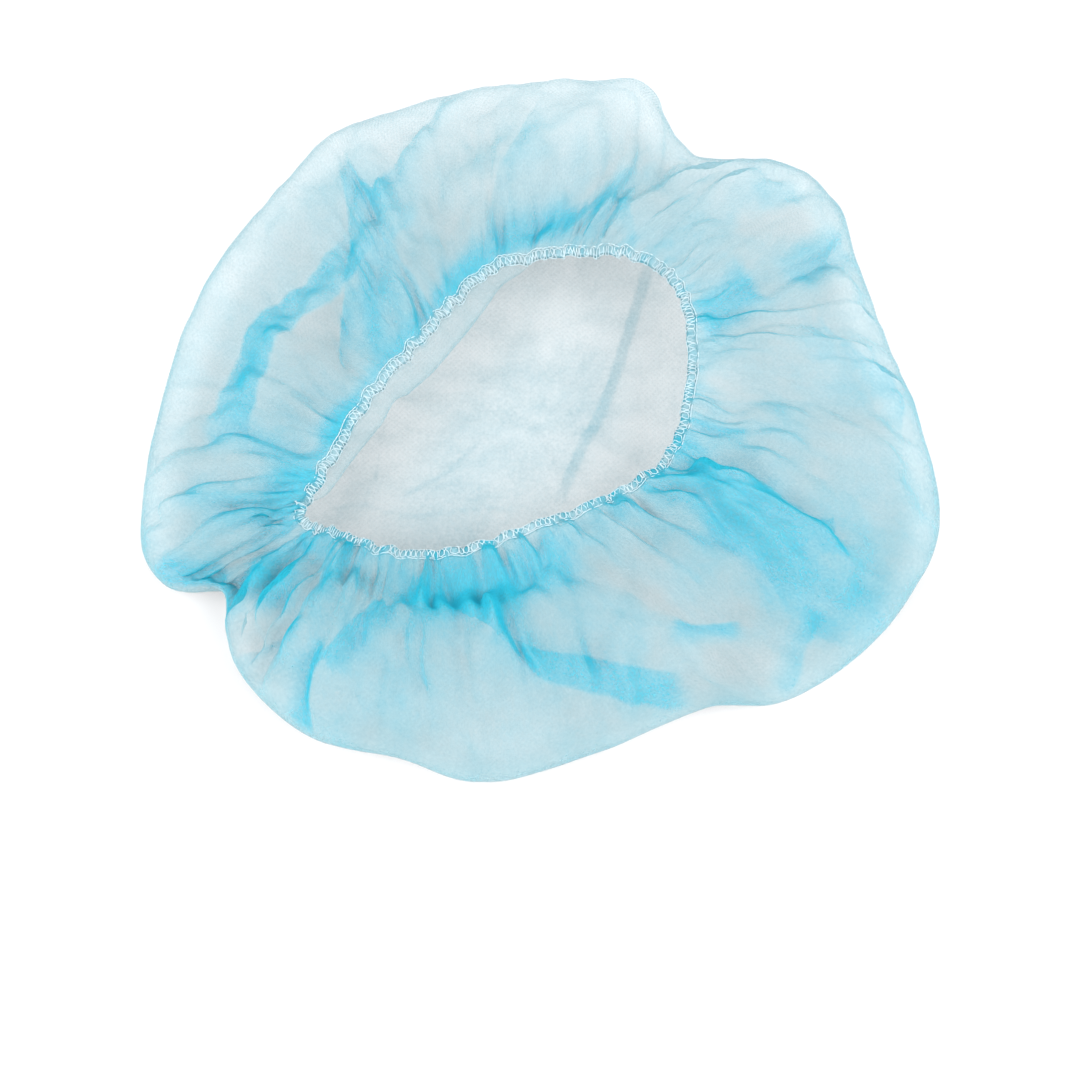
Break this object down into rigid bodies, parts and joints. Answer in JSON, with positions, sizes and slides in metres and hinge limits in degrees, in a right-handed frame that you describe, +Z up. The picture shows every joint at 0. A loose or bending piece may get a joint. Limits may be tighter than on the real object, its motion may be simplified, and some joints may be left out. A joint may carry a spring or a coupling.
{
  "type": "disposable bouffant hair cap",
  "caption": "Puffed disc of thin non-woven fabric gathered on an elastic loop, lying on its crown with its teardrop opening up.",
  "frame": {"origin": "on the surface that the crown lies on, under the middle of the cap", "axes": "+Z up out of the head opening, +X along the cap's longer side, from the opening's pointed end to its round end"},
  "size_m": [0.3026, 0.2952, 0.0581],
  "materials": {
    "nonwoven_fabric": "pale blue translucent spunbond polypropylene with point-bonded dots, matte",
    "elastic": "white knitted elastic with white overlock thread, matte"
  },
  "bodies": {
    "root": {"cap_fabric": "nonwoven_fabric", "elastic_band": "elastic"}
  },
  "joints": []
}
